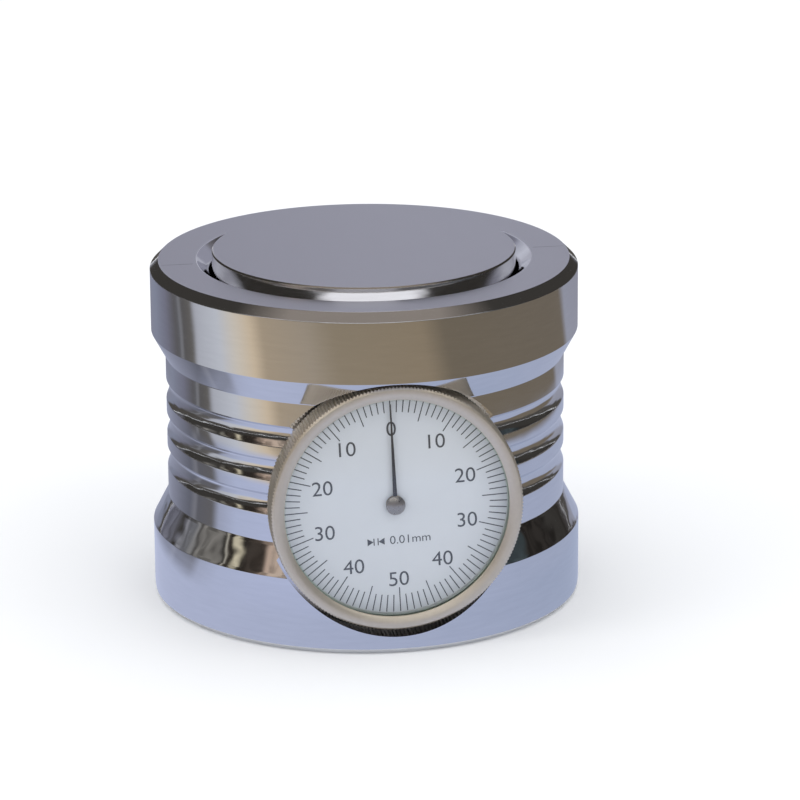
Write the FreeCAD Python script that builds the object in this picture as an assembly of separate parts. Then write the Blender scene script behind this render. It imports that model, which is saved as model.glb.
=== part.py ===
import FreeCAD, Part
import math
import os
from FreeCAD import Vector

# Dial tool setter. It stands on a flat surface at z = 0, its axis is Z and its dial faces -Y.
# Lengths are millimetres, and d is a distance out from the body's axis towards the dial's front.

# Body, from top to bottom
setting_height = 50.0
ring_dia = 62.0
ring_depth = 10.2
ring_edge_chamfer = 1.25
cone_height = 3.7
waist_dia = 58.0
waist_height = 21.0
flare_height = 4.3
base_dia = 62.5
base_edge_chamfer = 0.8

# Grooves round the waist
groove_count = 3
groove_pitch = 5.1
groove_top_drop = 5.2
groove_width = 3.3
groove_depth = 0.5
groove_flats = 3

# Bore and floor
bore_dia = 46.7
bore_edge_chamfer = 1.3
floor_thickness = 4.4
relief_dia = 46.0
relief_depth = 0.5
access_dia = 14.0

# Anvil and its stem
anvil_dia = 44.0
anvil_proud = 1.3
anvil_thickness = 7.0
anvil_chamfer = 0.5
anvil_recess_depth = 2.0
anvil_recess_gap = 1.2
anvil_travel = 2.5
anvil_hub_dia = 13.0
stem_dia = 9.0
stem_thread_dia = 6.0
stem_thread_depth = 4.5
stop_washer_dia = 11.2
stop_washer_thickness = 0.8
stem_nut_flats = 9.6
stem_nut_height = 2.8
stem_tail = 0.8

# Guide column, bush and plug
column_flange_dia = 25.0
column_flange_thickness = 4.0
column_tube_dia = 16.0
bush_dia = 12.0
bush_length = 14.4
bush_low_z = 12.0
nut_bore_dia = 13.0
column_screw_count = 3
column_screw_dia = 3.0
column_screw_head_dia = 6.0
column_screw_head_height = 1.6
column_screw_length = 7.1
column_screw_circle = 20.5
screw_socket_flats = 2.0
screw_socket_depth = 1.0
plug_thickness = 2.5
plug_hole_dia = 1.6
plug_hole_spacing = 8.0

# Main spring
spring_wire_width = 1.2
spring_wire_height = 1.0
spring_mean_dia = 18.4
spring_turns = 6.0

# Dial axis and the pocket in the body's front
dial_axis_z = 21.15
pocket_dia = 37.1
pocket_floor_gap = 0.3
dial_turn = 2.5

# Bezel and what turns with it, from the front inwards
bezel_front_d = 30.3
bezel_dia = 35.9
bezel_depth = 4.9
bezel_front_width = 0.5
bezel_edge_chamfer = 0.3
bezel_shoulder_drop = 0.05
serration_length = 4.5
bezel_lip_thickness = 0.7
aperture_dia = 32.0
bezel_bore_dia = 33.32
serration_count = 220
serration_depth = 0.2
crystal_thickness = 0.9
crystal_ring_thickness = 1.1
crystal_ring_wall = 0.5
dial_plate_thickness = 0.4
dial_hole_dia = 2.6

# Dial case
spigot_length = 1.9
spigot_gap = 0.2
case_dia = 33.6
case_wall = 1.5
case_rear_d = 12.9
case_screw_dia = 2.5
case_screw_head_dia = 4.6
case_screw_head_height = 1.4
case_screw_ds = (15.2, 20.0)
snap_ring_width = 0.6
snap_ring_thickness = 0.4
snap_ring_opening = 30.0

# Movement plates and pillars
plate_dia = 29.2
back_plate_thickness = 1.2
front_plate_thickness = 1.0
pillar_dia = 2.4
dial_to_movement = 0.6
pillar_circle = 26.0
pillar_angles = (0.0, 160.0, 290.0)
movement_screw_dia = 1.2
movement_screw_head_dia = 2.0
movement_screw_head_height = 0.6
movement_screw_depth = 2.0

# Train: the rack pinion turns once in ten millimetres, and the pointer once in one
travel_per_rack_turn = 10.0
rack_pinion_teeth = 16
wheel_teeth = 100
centre_pinion_teeth = 10
wheel_module = 0.13
main_arbor_angle = 225.0
take_up_angle = 75.0
wheel_thickness = 0.7
wheel_setback = 0.6
centre_pinion_length = 1.5
rack_pinion_length = 2.4
arbor_dia = 1.2
centre_arbor_dia = 0.8
pivot_dia = 0.7
pivot_length = 0.8
end_shake = 0.15
wheel_rim = 0.9
wheel_hub_dia = 2.6
wheel_spoke_width = 0.9
wheel_spokes = 4

# Rack rod
rod_dia = 3.0
rod_d = 18.1
rod_thread_dia = 2.5
rod_pitch_offset = 1.2
rod_tail = 1.0
rack_spaces = 12
rod_bush_dia = 4.8
rod_bush_low = 0.9
rod_bush_gap = 2.0

# Hairspring
hairspring_strip = 0.12
hairspring_width = 0.6
hairspring_growth = 0.38
hairspring_half_turns = 8
hairspring_setback = 0.8
collet_dia = 2.0
stud_dia = 0.8

# Pointer
pointer_length = 14.9
pointer_hub_width = 0.62
pointer_tip_width = 0.12
pointer_thickness = 0.2
pointer_gap = 0.4
pointer_boss_dia = 1.9
pointer_cap_dia = 2.75
pointer_cap_height = 0.45

# Clearances between pieces, on the radius
running_clearance = 0.03
bezel_clearance = 0.06
seat_clearance = 0.02
case_clearance = 0.05
ring_groove_clearance = 0.1
spring_seat_clearance = 0.05

# Gear tooth form, in modules and shares of the pitch
addendum = 0.9
dedendum = 1.25
pressure_angle = 20.0
wheel_tooth_share = 0.44
pinion_tooth_share = 0.38
rack_tooth_share = 0.42

# Heights and distances that follow from the sizes above
ring_low_z = setting_height - ring_depth
waist_high_z = ring_low_z - cone_height
waist_low_z = waist_high_z - waist_height
base_top_z = waist_low_z - flare_height
anvil_top_z = setting_height + anvil_proud
anvil_under_z = anvil_top_z - anvil_thickness
column_top_z = bush_low_z + bush_length
flange_top_z = floor_thickness + column_flange_thickness

bezel_rear_d = bezel_front_d - bezel_depth
crystal_front_d = bezel_front_d - bezel_lip_thickness
crystal_rear_d = crystal_front_d - crystal_thickness
dial_front_d = crystal_rear_d - crystal_ring_thickness
dial_rear_d = dial_front_d - dial_plate_thickness
spigot_front_d = dial_rear_d - spigot_gap
shoulder_d = spigot_front_d - spigot_length
pocket_floor_d = bezel_rear_d - pocket_floor_gap
spigot_dia = bezel_bore_dia - 2 * bezel_clearance
carried_dia = bezel_bore_dia - 2 * seat_clearance
case_bore_dia = case_dia - 2 * case_wall
snap_ring_d = (spigot_front_d + bezel_rear_d) / 2

back_plate_rear_d = case_rear_d + case_wall
back_plate_front_d = back_plate_rear_d + back_plate_thickness
front_plate_front_d = dial_rear_d - dial_to_movement - movement_screw_head_height
front_plate_rear_d = front_plate_front_d - front_plate_thickness
wheel_front_d = front_plate_rear_d - wheel_setback
wheel_rear_d = wheel_front_d - wheel_thickness

rack_pitch = travel_per_rack_turn / rack_pinion_teeth
rack_module = rack_pitch / math.pi
rack_pinion_radius = travel_per_rack_turn / (2 * math.pi)
wheel_radius = wheel_module * wheel_teeth / 2
centre_pinion_radius = wheel_module * centre_pinion_teeth / 2
centre_distance = wheel_radius + centre_pinion_radius

pointer_rear_d = dial_front_d + pointer_gap
pointer_front_d = pointer_rear_d + pointer_thickness


def on_circle(radius, angle):
    """Offset (x, z) from the dial's axis, at an angle from +X towards +Z."""
    turn = math.radians(angle)
    return radius * math.cos(turn), radius * math.sin(turn)


main_x, main_z = on_circle(centre_distance, main_arbor_angle)
take_up_x, take_up_z = on_circle(centre_distance, take_up_angle)
rack_pitch_x = main_x - rack_pinion_radius
rod_x = rack_pitch_x - rod_pitch_offset
mesh_z = dial_axis_z + main_z


def closed_face(points):
    return Part.Face(Part.makePolygon(points + [points[0]]))


def turned_up(profile):
    """Solid turned about the body's axis from (radius, z) points."""
    face = closed_face([Vector(r, 0, z) for r, z in profile])
    return face.revolve(Vector(0, 0, 0), Vector(0, 0, 1), 360)


def turned_out(profile, x=0.0, z=0.0):
    """Solid turned about an axis along the dial's from (radius, d) points."""
    face = closed_face([Vector(x + r, -d, dial_axis_z + z) for r, d in profile])
    return face.revolve(Vector(x, 0, dial_axis_z + z), Vector(0, -1, 0), 360)


def rod_out(dia, low_d, high_d, x=0.0, z=0.0):
    """Round bar along the dial's axis, between two distances."""
    start = Vector(x, -low_d, dial_axis_z + z)
    return Part.makeCylinder(dia / 2, high_d - low_d, start, Vector(0, -1, 0))


def rod_up(dia, low_z, high_z, x=0.0, y=0.0):
    return Part.makeCylinder(dia / 2, high_z - low_z, Vector(x, y, low_z))


def cone_up(low_dia, high_dia, low_z, high_z, x, y):
    return Part.makeCone(low_dia / 2, high_dia / 2, high_z - low_z, Vector(x, y, low_z))


def plate_out(outline, low_d, high_d):
    """Plate cut to an outline of (x, z) offsets from the dial's axis."""
    face = closed_face([Vector(x, -low_d, dial_axis_z + z) for x, z in outline])
    return face.extrude(Vector(0, low_d - high_d, 0))


def hex_up(flats, low_z, high_z, x=0.0, y=0.0):
    corner = flats / math.sqrt(3)
    points = []
    for side in range(6):
        turn = math.radians(60 * side)
        points.append(Vector(x + corner * math.cos(turn), y + corner * math.sin(turn), low_z))
    return closed_face(points).extrude(Vector(0, 0, high_z - low_z))


# Body

def groove_points(centre_z):
    """Round-bottomed groove in the waist's side, in a few flats from low to high."""
    radius = ((groove_width / 2) ** 2 + groove_depth ** 2) / (2 * groove_depth)
    half_turn = math.asin(groove_width / (2 * radius))
    centre_r = waist_dia / 2 - groove_depth + radius
    points = []
    for step in range(groove_flats + 1):
        turn = half_turn * (2 * step / groove_flats - 1)
        points.append((centre_r - radius * math.cos(turn), centre_z + radius * math.sin(turn)))
    return points


def body_section():
    """Half section of the body, outer side first and then the bore."""
    base_r = base_dia / 2
    ring_r = ring_dia / 2
    waist_r = waist_dia / 2
    bore_r = bore_dia / 2
    relief_r = relief_dia / 2
    access_r = access_dia / 2
    grooves = []
    for row in reversed(range(groove_count)):
        grooves += groove_points(waist_high_z - groove_top_drop - row * groove_pitch)
    return [
        (relief_r, 0),
        (base_r - base_edge_chamfer, 0),
        (base_r, base_edge_chamfer),
        (base_r, base_top_z),
        (waist_r, waist_low_z),
        *grooves,
        (waist_r, waist_high_z),
        (ring_r, ring_low_z),
        (ring_r, setting_height - ring_edge_chamfer),
        (ring_r - ring_edge_chamfer, setting_height),
        (bore_r + bore_edge_chamfer, setting_height),
        (bore_r, setting_height - bore_edge_chamfer),
        (bore_r, floor_thickness),
        (access_r, floor_thickness),
        (access_r, relief_depth),
        (relief_r, relief_depth),
    ]


def column_screw_places():
    for index in range(column_screw_count):
        turn = math.radians(90 + 360 * index / column_screw_count)
        radius = column_screw_circle / 2
        yield radius * math.cos(turn), radius * math.sin(turn)


def case_screw_span():
    """Lowest and highest z of the screws that hold the case from beneath."""
    return relief_depth, dial_axis_z - case_bore_dia / 2 - seat_clearance


def make_body():
    body = turned_up(body_section())
    beyond = base_dia
    cuts = [
        rod_out(pocket_dia, pocket_floor_d, beyond),
        rod_out(case_dia + 2 * case_clearance, case_rear_d - case_clearance, beyond),
    ]
    screws = [(x, y, column_screw_dia, column_screw_head_dia, column_screw_head_height)
              for x, y in column_screw_places()]
    screws += [(0, -d, case_screw_dia, case_screw_head_dia, case_screw_head_height)
               for d in case_screw_ds]
    for x, y, dia, head_dia, head_height in screws:
        hole_dia = dia + 2 * case_clearance
        cuts.append(rod_up(hole_dia, 0, floor_thickness, x, y))
        cuts.append(cone_up(head_dia, hole_dia, relief_depth, relief_depth + head_height, x, y))
    return body.cut(cuts)


# Guide column, bush, screws and plug

def make_guide_column():
    flange_r = column_flange_dia / 2
    tube_r = column_tube_dia / 2
    column = turned_up([
        (nut_bore_dia / 2, floor_thickness),
        (flange_r, floor_thickness),
        (flange_r, flange_top_z),
        (tube_r, flange_top_z),
        (tube_r, column_top_z),
        (bush_dia / 2, column_top_z),
        (bush_dia / 2, bush_low_z),
        (nut_bore_dia / 2, bush_low_z),
    ])
    screw_top = relief_depth + column_screw_length
    holes = [rod_up(column_screw_dia, floor_thickness, screw_top, x, y) for x, y in column_screw_places()]
    return column.cut(holes)


def make_guide_bush():
    bore_r = stem_dia / 2 + running_clearance
    return turned_up([
        (bore_r, bush_low_z),
        (bush_dia / 2, bush_low_z),
        (bush_dia / 2, column_top_z),
        (bore_r, column_top_z),
    ])


def countersunk_screw(dia, head_dia, head_height, high_z, x, y):
    """Screw from beneath with a hexagon socket, its head flush in the base's relief."""
    head_top = relief_depth + head_height
    head = cone_up(head_dia, dia, relief_depth, head_top, x, y)
    shank = rod_up(dia, head_top, high_z, x, y)
    socket = hex_up(screw_socket_flats, relief_depth, relief_depth + screw_socket_depth, x, y)
    return head.fuse(shank).cut(socket)


def make_column_screws():
    high_z = relief_depth + column_screw_length
    return Part.makeCompound([
        countersunk_screw(column_screw_dia, column_screw_head_dia, column_screw_head_height, high_z, x, y)
        for x, y in column_screw_places()
    ])


def make_base_plug():
    plug = rod_up(access_dia - 2 * seat_clearance, relief_depth, relief_depth + plug_thickness)
    holes = []
    for side in (-1, 1):
        x = side * plug_hole_spacing / 2
        holes.append(rod_up(plug_hole_dia, relief_depth, relief_depth + plug_thickness / 2, x))
    return plug.cut(holes)


# Main spring

def make_main_spring():
    """Flat-sided wire wound between the column's flange and the recess under the anvil."""
    half_width = spring_wire_width / 2
    half_height = spring_wire_height / 2
    low_z = flange_top_z + half_height + spring_seat_clearance
    high_z = anvil_under_z + anvil_recess_depth - half_height - spring_seat_clearance
    height = high_z - low_z
    mean_r = spring_mean_dia / 2
    helix = Part.makeHelix(height / spring_turns, height, mean_r)
    helix.translate(Vector(0, 0, low_z))
    corners = ((-half_width, -half_height), (half_width, -half_height),
               (half_width, half_height), (-half_width, half_height))
    section = [Vector(mean_r + along, 0, low_z + up) for along, up in corners]
    return Part.Wire(helix.Edges).makePipeShell([Part.makePolygon(section + section[:1])], True, True)


# Anvil, stem, washer and nut

def make_anvil():
    radius = anvil_dia / 2
    recess_r = (spring_mean_dia + spring_wire_width) / 2 + anvil_recess_gap
    anvil = turned_up([
        (0, anvil_under_z),
        (anvil_hub_dia / 2, anvil_under_z),
        (anvil_hub_dia / 2, anvil_under_z + anvil_recess_depth),
        (recess_r, anvil_under_z + anvil_recess_depth),
        (recess_r, anvil_under_z),
        (radius - anvil_chamfer, anvil_under_z),
        (radius, anvil_under_z + anvil_chamfer),
        (radius, anvil_top_z - anvil_chamfer),
        (radius - anvil_chamfer, anvil_top_z),
        (0, anvil_top_z),
    ])
    stem_hole = rod_up(stem_thread_dia, anvil_under_z, anvil_under_z + stem_thread_depth)
    rod_hole = rod_up(rod_thread_dia, anvil_under_z, anvil_under_z + stem_thread_depth, rod_x, -rod_d)
    return anvil.cut([stem_hole, rod_hole])


def make_anvil_stem():
    thread_r = stem_thread_dia / 2
    stem_r = stem_dia / 2
    tail_z = bush_low_z - stop_washer_thickness - stem_nut_height - stem_tail
    return turned_up([
        (0, tail_z),
        (thread_r, tail_z),
        (thread_r, bush_low_z),
        (stem_r, bush_low_z),
        (stem_r, anvil_under_z),
        (thread_r, anvil_under_z),
        (thread_r, anvil_under_z + stem_thread_depth),
        (0, anvil_under_z + stem_thread_depth),
    ])


def make_stop_washer():
    low_z = bush_low_z - stop_washer_thickness
    washer = rod_up(stop_washer_dia, low_z, bush_low_z)
    return washer.cut(rod_up(stem_thread_dia, low_z, bush_low_z))


def make_stem_nut():
    high_z = bush_low_z - stop_washer_thickness
    low_z = high_z - stem_nut_height
    return hex_up(stem_nut_flats, low_z, high_z).cut(rod_up(stem_thread_dia, low_z, high_z))


# Toothed pieces

def tooth_widths(module, share):
    """Tooth widths at the tip and at the root, for straight flanks."""
    pitch_width = share * math.pi * module
    slope = 2 * module * math.tan(math.radians(pressure_angle))
    return pitch_width - addendum * slope, pitch_width + dedendum * slope


def toothed_outline(teeth, module, share, first_tooth, x=0.0, z=0.0):
    """Outline of a gear about (x, z), with one tooth's middle at first_tooth degrees."""
    tip_width, root_width = tooth_widths(module, share)
    tip_r = module * (teeth / 2 + addendum)
    root_r = module * (teeth / 2 - dedendum)
    points = []
    for tooth in range(teeth):
        middle = math.radians(first_tooth) + 2 * math.pi * tooth / teeth
        flank = ((root_r, -root_width), (tip_r, -tip_width), (tip_r, tip_width), (root_r, root_width))
        for radius, width in flank:
            turn = middle + width / (2 * radius)
            points.append((x + radius * math.cos(turn), z + radius * math.sin(turn)))
    return points


def meshing_tooth(line_angle):
    """Angle of a wheel's tooth, so that one of its spaces takes the centre pinion's tooth."""
    pinion_pitch = 360 / centre_pinion_teeth
    offset = (main_arbor_angle - line_angle) % pinion_pitch
    carried = offset * centre_pinion_radius / wheel_radius
    space = line_angle + 180 - carried
    return space + 180 / wheel_teeth


def make_wheel(line_angle, x, z):
    """Spoked wheel that meshes with the centre pinion."""
    share = wheel_tooth_share
    outline = toothed_outline(wheel_teeth, wheel_module, share, meshing_tooth(line_angle), x, z)
    wheel = plate_out(outline, wheel_rear_d, wheel_front_d)
    rim_inner = 2 * (wheel_radius - dedendum * wheel_module - wheel_rim)
    window = rod_out(rim_inner, wheel_rear_d, wheel_front_d, x, z)
    window = window.cut(rod_out(wheel_hub_dia, wheel_rear_d, wheel_front_d, x, z))
    for spoke in range(wheel_spokes // 2):
        turn = 180 * spoke / (wheel_spokes // 2)
        bar = Part.makeBox(rim_inner, wheel_thickness, wheel_spoke_width)
        bar.translate(Vector(x - rim_inner / 2, -wheel_front_d, dial_axis_z + z - wheel_spoke_width / 2))
        bar.rotate(Vector(x, 0, dial_axis_z + z), Vector(0, 1, 0), turn)
        window = window.cut(bar)
    return wheel.cut([window, rod_out(arbor_dia, wheel_rear_d, wheel_front_d, x, z)])


def make_arbor(x, z, dia):
    """Arbor between the plates, with a pivot at each end."""
    low_d = back_plate_front_d + end_shake
    high_d = front_plate_rear_d - end_shake
    pivot_r = pivot_dia / 2
    return turned_out([
        (0, low_d - pivot_length),
        (pivot_r, low_d - pivot_length),
        (pivot_r, low_d),
        (dia / 2, low_d),
        (dia / 2, high_d),
        (pivot_r, high_d),
        (pivot_r, high_d + pivot_length),
        (0, high_d + pivot_length),
    ], x, z)


def make_rack_arbor():
    outline = toothed_outline(rack_pinion_teeth, rack_module, pinion_tooth_share, 180, main_x, main_z)
    low_d = rod_d - rack_pinion_length / 2
    pinion = plate_out(outline, low_d, low_d + rack_pinion_length)
    return make_arbor(main_x, main_z, arbor_dia).fuse(pinion)


def make_centre_arbor():
    """Arbor with its pinion, which runs on through the front plate to the pointer."""
    outline = toothed_outline(centre_pinion_teeth, wheel_module, pinion_tooth_share, main_arbor_angle)
    middle_d = (wheel_front_d + wheel_rear_d) / 2
    pinion = plate_out(outline, middle_d - centre_pinion_length / 2, middle_d + centre_pinion_length / 2)
    low_d = back_plate_front_d + end_shake
    arbor_r = centre_arbor_dia / 2
    pivot_r = pivot_dia / 2
    arbor = turned_out([
        (0, low_d - pivot_length),
        (pivot_r, low_d - pivot_length),
        (pivot_r, low_d),
        (arbor_r, low_d),
        (arbor_r, pointer_front_d),
        (0, pointer_front_d),
    ])
    return arbor.fuse(pinion)


# Rack rod and its bush

def make_rack_rod():
    """Round rod with a flat along one side and rack spaces cut across the flat."""
    tip_width, root_width = tooth_widths(rack_module, rack_tooth_share)
    tip_x = rack_pitch_x + addendum * rack_module
    root_x = rack_pitch_x - dedendum * rack_module
    low_z = mesh_z - rack_pitch * rack_spaces / 3
    tail_z = low_z - rack_pitch / 2 - rod_tail
    rod = rod_up(rod_dia, tail_z, anvil_under_z, rod_x, -rod_d)
    rod = rod.fuse(rod_up(rod_thread_dia, anvil_under_z, anvil_under_z + stem_thread_depth, rod_x, -rod_d))
    side_x = rod_x + rod_dia
    flat_high_z = low_z + rack_pitch * (rack_spaces + 0.5)
    outline = [(side_x, tail_z - rod_tail), (tip_x, tail_z - rod_tail)]
    for index in range(rack_spaces):
        middle_z = low_z + rack_pitch * index
        mouth = (rack_pitch - tip_width) / 2
        floor = (rack_pitch - root_width) / 2
        outline += [
            (tip_x, middle_z - mouth),
            (root_x, middle_z - floor),
            (root_x, middle_z + floor),
            (tip_x, middle_z + mouth),
        ]
    outline += [(tip_x, flat_high_z), (side_x, flat_high_z)]
    face = closed_face([Vector(x, -rod_d - rod_dia, z) for x, z in outline])
    return rod.cut(face.extrude(Vector(0, 2 * rod_dia, 0)))


def rod_bush_span():
    """Lowest and highest z of the rod's bush, from inside the case's wall to under the pressed anvil."""
    inner_z = dial_axis_z + math.sqrt((case_bore_dia / 2) ** 2 - rod_x ** 2)
    return inner_z - rod_bush_low, anvil_under_z - anvil_travel - rod_bush_gap


def make_rod_bush():
    low_z, high_z = rod_bush_span()
    bush = rod_up(rod_bush_dia, low_z, high_z, rod_x, -rod_d)
    return bush.cut(rod_up(rod_dia + 2 * running_clearance, low_z, high_z, rod_x, -rod_d))


# Dial case, its screws and the bezel's snap ring

def make_dial_case():
    spigot_r = spigot_dia / 2
    groove_r = spigot_r - snap_ring_width / 2 - ring_groove_clearance
    groove_low = snap_ring_d - snap_ring_thickness / 2 - ring_groove_clearance
    groove_high = snap_ring_d + snap_ring_thickness / 2 + ring_groove_clearance
    bore_r = case_bore_dia / 2
    case_r = case_dia / 2
    cup = turned_out([
        (0, case_rear_d),
        (case_r, case_rear_d),
        (case_r, shoulder_d),
        (spigot_r, shoulder_d),
        (spigot_r, groove_low),
        (groove_r, groove_low),
        (groove_r, groove_high),
        (spigot_r, groove_high),
        (spigot_r, spigot_front_d),
        (bore_r, spigot_front_d),
        (bore_r, back_plate_rear_d),
        (0, back_plate_rear_d),
    ])
    low_z, high_z = case_screw_span()
    cuts = [rod_up(case_screw_dia, low_z, high_z + case_wall, 0, -d) for d in case_screw_ds]
    for x, z in pillar_places():
        cuts.append(rod_out(movement_screw_dia, case_rear_d, back_plate_rear_d, x, z))
    cuts.append(rod_up(rod_bush_dia, dial_axis_z, dial_axis_z + case_dia, rod_x, -rod_d))
    return cup.cut(cuts)


def make_case_screws():
    high_z = case_screw_span()[1]
    return Part.makeCompound([
        countersunk_screw(case_screw_dia, case_screw_head_dia, case_screw_head_height, high_z, 0, -d)
        for d in case_screw_ds
    ])


def make_bezel_spring():
    """Split flat ring, half in the case's groove and half in the bezel's."""
    low_r = (spigot_dia - snap_ring_width) / 2
    high_r = (spigot_dia + snap_ring_width) / 2
    low_d = snap_ring_d - snap_ring_thickness / 2
    high_d = snap_ring_d + snap_ring_thickness / 2
    corners = ((low_r, low_d), (high_r, low_d), (high_r, high_d), (low_r, high_d))
    section = closed_face([Vector(r, -d, dial_axis_z) for r, d in corners])
    return section.revolve(Vector(0, 0, dial_axis_z), Vector(0, -1, 0), 360 - snap_ring_opening)


# Bezel and what turns with it

def make_bezel():
    """Serrated band with a smooth chamfered front inside its tips, and a groove for the snap ring."""
    outer_r = bezel_dia / 2
    bore_r = bezel_bore_dia / 2
    lip_r = aperture_dia / 2
    band_front_d = bezel_rear_d + serration_length
    front_r = outer_r - serration_depth - bezel_shoulder_drop
    rim_r = front_r - bezel_edge_chamfer
    front = turned_out([
        (bore_r, band_front_d),
        (front_r, band_front_d),
        (front_r, bezel_front_d - bezel_edge_chamfer),
        (rim_r, bezel_front_d),
        (rim_r - bezel_front_width, bezel_front_d),
        (lip_r, crystal_front_d + bezel_lip_thickness / 3),
        (lip_r, crystal_front_d),
        (bore_r, crystal_front_d),
    ])
    outline = []
    for step in range(2 * serration_count):
        radius = outer_r if step % 2 == 0 else outer_r - serration_depth
        outline.append(on_circle(radius, 180 * step / serration_count))
    band = plate_out(outline, bezel_rear_d, band_front_d)
    groove_dia = spigot_dia + snap_ring_width + 2 * ring_groove_clearance
    groove_half = snap_ring_thickness / 2 + ring_groove_clearance
    groove = rod_out(groove_dia, snap_ring_d - groove_half, snap_ring_d + groove_half)
    band = band.cut([rod_out(bezel_bore_dia, bezel_rear_d, band_front_d), groove])
    return band.fuse(front)


def make_crystal():
    return rod_out(carried_dia, crystal_rear_d, crystal_front_d)


def make_crystal_ring():
    ring = rod_out(carried_dia, dial_front_d, crystal_rear_d)
    return ring.cut(rod_out(carried_dia - 2 * crystal_ring_wall, dial_front_d, crystal_rear_d))


def make_dial_face():
    return rod_out(carried_dia, dial_rear_d, dial_front_d).cut(rod_out(dial_hole_dia, dial_rear_d, dial_front_d))


# Pointer and its cap

def make_pointer():
    """Tapered blade on a boss, turned with the dial so that it reads zero."""
    hub_half = pointer_hub_width / 2
    tip_half = pointer_tip_width / 2
    blade = plate_out([(-hub_half, 0), (hub_half, 0), (tip_half, pointer_length), (-tip_half, pointer_length)],
                      pointer_rear_d, pointer_front_d)
    pointer = blade.fuse(rod_out(pointer_boss_dia, pointer_rear_d, pointer_front_d))
    pointer = pointer.cut(rod_out(centre_arbor_dia, pointer_rear_d, pointer_front_d))
    pointer.rotate(Vector(0, 0, dial_axis_z), Vector(0, -1, 0), dial_turn)
    return pointer


def make_pointer_cap():
    """Domed cap over the arbor's end."""
    cap_r = pointer_cap_dia / 2
    side_d = pointer_front_d + pointer_cap_height / 3
    crown_d = pointer_front_d + pointer_cap_height
    rise = crown_d - side_d
    dome_r = (cap_r ** 2 + rise ** 2) / (2 * rise)
    half_turn = math.asin(cap_r / dome_r) / 2
    edge = Vector(cap_r, -pointer_front_d, dial_axis_z)
    side = Vector(cap_r, -side_d, dial_axis_z)
    slope = Vector(dome_r * math.sin(half_turn), -(crown_d - dome_r * (1 - math.cos(half_turn))), dial_axis_z)
    crown = Vector(0, -crown_d, dial_axis_z)
    foot = Vector(0, -pointer_front_d, dial_axis_z)
    edges = [
        Part.makeLine(foot, edge),
        Part.makeLine(edge, side),
        Part.Arc(side, slope, crown).toShape(),
        Part.makeLine(crown, foot),
    ]
    return Part.Face(Part.Wire(edges)).revolve(Vector(0, 0, dial_axis_z), Vector(0, -1, 0), 360)


# Movement plates, pillars and screws

def pillar_places():
    for angle in pillar_angles:
        yield on_circle(pillar_circle / 2, angle)


def make_plate(low_d, high_d, centre_hole_dia):
    plate = rod_out(plate_dia, low_d, high_d)
    pivot_hole = pivot_dia + 2 * running_clearance
    cuts = [
        rod_out(pivot_hole, low_d, high_d, main_x, main_z),
        rod_out(pivot_hole, low_d, high_d, take_up_x, take_up_z),
        rod_out(centre_hole_dia, low_d, high_d),
    ]
    for x, z in pillar_places():
        cuts.append(rod_out(movement_screw_dia, low_d, high_d, x, z))
    return plate.cut(cuts)


def make_pillars():
    pillars = []
    for x, z in pillar_places():
        pillar = rod_out(pillar_dia, back_plate_front_d, front_plate_rear_d, x, z)
        rear_hole = rod_out(movement_screw_dia, back_plate_front_d,
                            back_plate_front_d + movement_screw_depth, x, z)
        front_hole = rod_out(movement_screw_dia, front_plate_rear_d - movement_screw_depth,
                             front_plate_rear_d, x, z)
        pillars.append(pillar.cut([rear_hole, front_hole]))
    return Part.makeCompound(pillars)


def make_movement_screws():
    screws = []
    head_r = movement_screw_head_dia / 2
    shank_r = movement_screw_dia / 2
    head = movement_screw_head_height
    depth = movement_screw_depth
    for x, z in pillar_places():
        screws.append(turned_out([
            (0, front_plate_rear_d - depth),
            (shank_r, front_plate_rear_d - depth),
            (shank_r, front_plate_front_d),
            (head_r, front_plate_front_d),
            (head_r, front_plate_front_d + head),
            (0, front_plate_front_d + head),
        ], x, z))
        screws.append(turned_out([
            (0, case_rear_d - head),
            (head_r, case_rear_d - head),
            (head_r, case_rear_d),
            (shank_r, case_rear_d),
            (shank_r, back_plate_front_d + depth),
            (0, back_plate_front_d + depth),
        ], x, z))
    return Part.makeCompound(screws)


# Hairspring, its collet and its stud

hairspring_low_d = back_plate_front_d + hairspring_setback
hairspring_high_d = hairspring_low_d + hairspring_width
hairspring_start_r = collet_dia / 2 + hairspring_strip / 2
hairspring_end_r = hairspring_start_r + hairspring_half_turns * hairspring_growth


def make_hairspring():
    """Flat strip in a spiral of half circles, from the collet out to the stud."""
    sides = []
    for offset in (-hairspring_strip / 2, hairspring_strip / 2):
        arcs = []
        for half in range(hairspring_half_turns):
            radius = hairspring_start_r + half * hairspring_growth + offset
            sign = 1 if half % 2 == 0 else -1
            centre_x = take_up_x + (0 if half % 2 == 0 else hairspring_growth)
            places = []
            for along, up in ((sign, 0), (0, sign), (-sign, 0)):
                x = centre_x + along * radius
                z = dial_axis_z + take_up_z + up * radius
                places.append(Vector(x, -hairspring_low_d, z))
            arcs.append(Part.Arc(*places).toShape())
        sides.append(arcs)
    inner, outer = sides
    ends = []
    for index, vertex in ((0, 0), (-1, 1)):
        ends.append(Part.makeLine(inner[index].Vertexes[vertex].Point, outer[index].Vertexes[vertex].Point))
    face = Part.Face(Part.Wire(Part.__sortEdges__(inner + outer + ends)))
    return face.extrude(Vector(0, -hairspring_width, 0))


def make_hairspring_collet():
    collet = rod_out(collet_dia, hairspring_low_d, hairspring_high_d, take_up_x, take_up_z)
    return collet.cut(rod_out(arbor_dia, hairspring_low_d, hairspring_high_d, take_up_x, take_up_z))


def make_hairspring_stud():
    x = take_up_x + hairspring_end_r
    z = take_up_z + stud_dia / 2
    return rod_out(stud_dia, back_plate_front_d, hairspring_high_d, x, z)


# One STEP file for each named piece

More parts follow.
